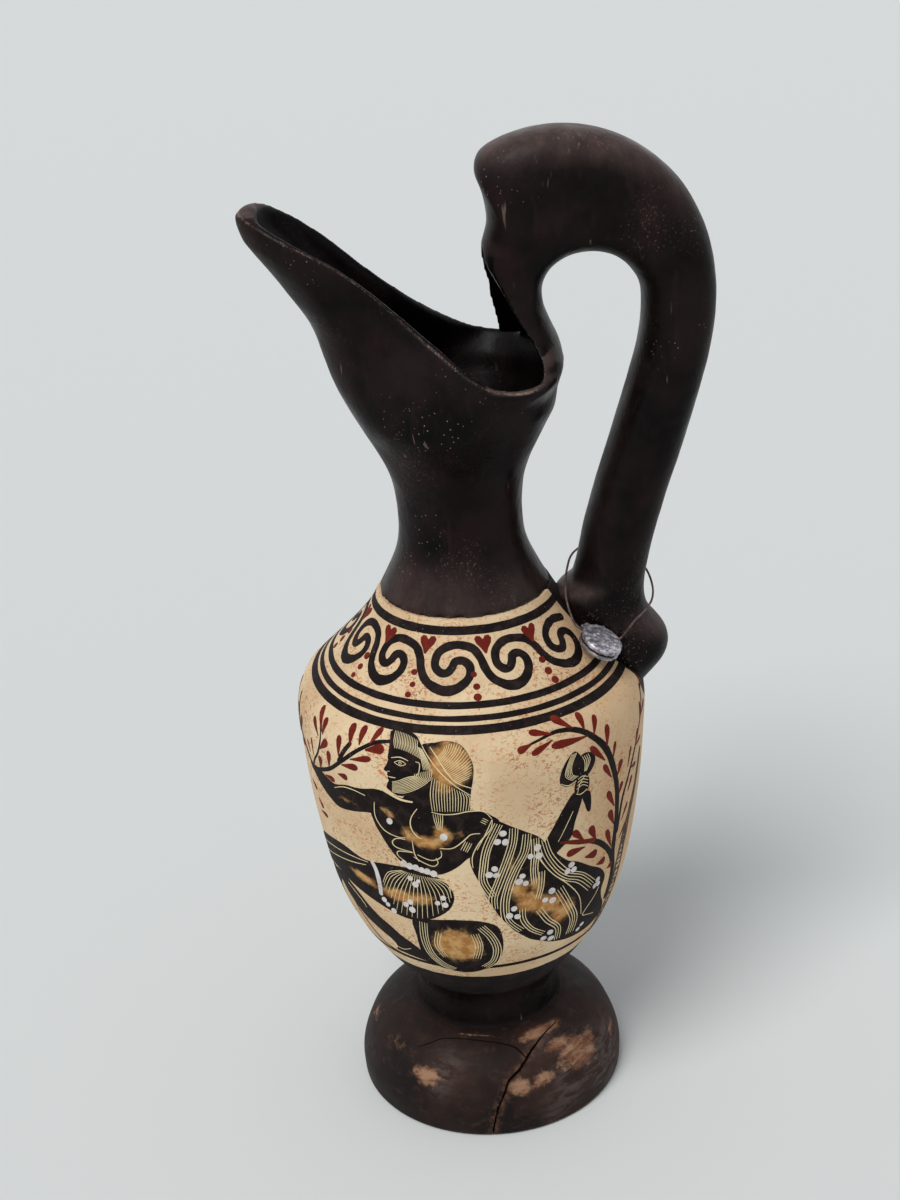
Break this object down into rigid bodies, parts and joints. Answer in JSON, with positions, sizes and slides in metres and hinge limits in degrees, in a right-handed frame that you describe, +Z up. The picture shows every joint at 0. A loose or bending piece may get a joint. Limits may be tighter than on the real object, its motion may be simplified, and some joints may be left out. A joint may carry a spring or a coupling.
{
  "type": "terracotta vase",
  "caption": "Tall black and cream terracotta jug on a bell foot, with a slanting beak, a high bow handle with a crest and a crimped lead hang tag.",
  "frame": {"origin": "on the table, under the middle of the jug's length from beak to handle; the axis of the thrown sections stands 11.5 mm from it towards the beak", "axes": "+Z up; +X from the beak to the handle, in the jug's plane of symmetry"},
  "size_m": [0.1609, 0.128, 0.3699],
  "materials": {
    "black_slip": "semi-matt black slip, worn brown at the edges",
    "foot_slip": "dark brown slip, cracked and worn through to the clay",
    "cream_slip": "matt cream slip with black, red and ochre paint",
    "copper": "dull brown copper wire",
    "lead": "dull grey lead with bright rubbed edges"
  },
  "bodies": {
    "vessel": {"foot": "foot_slip", "stem": "black_slip", "body": "cream_slip", "neck": "black_slip", "mouth": "black_slip", "handle": "black_slip", "handle_root": "black_slip"},
    "tag": {"tag_wire": "copper", "seal_front": "lead", "seal_back": "lead"}
  },
  "joints": [
    {"name": "tag_lift", "type": "hinge", "parent": "vessel", "child": "tag", "pos_m": [0.04305, 0.0155, 0.212], "axis": [-0.9588, 0, 0.284], "range_deg": [0, 55]}
  ]
}
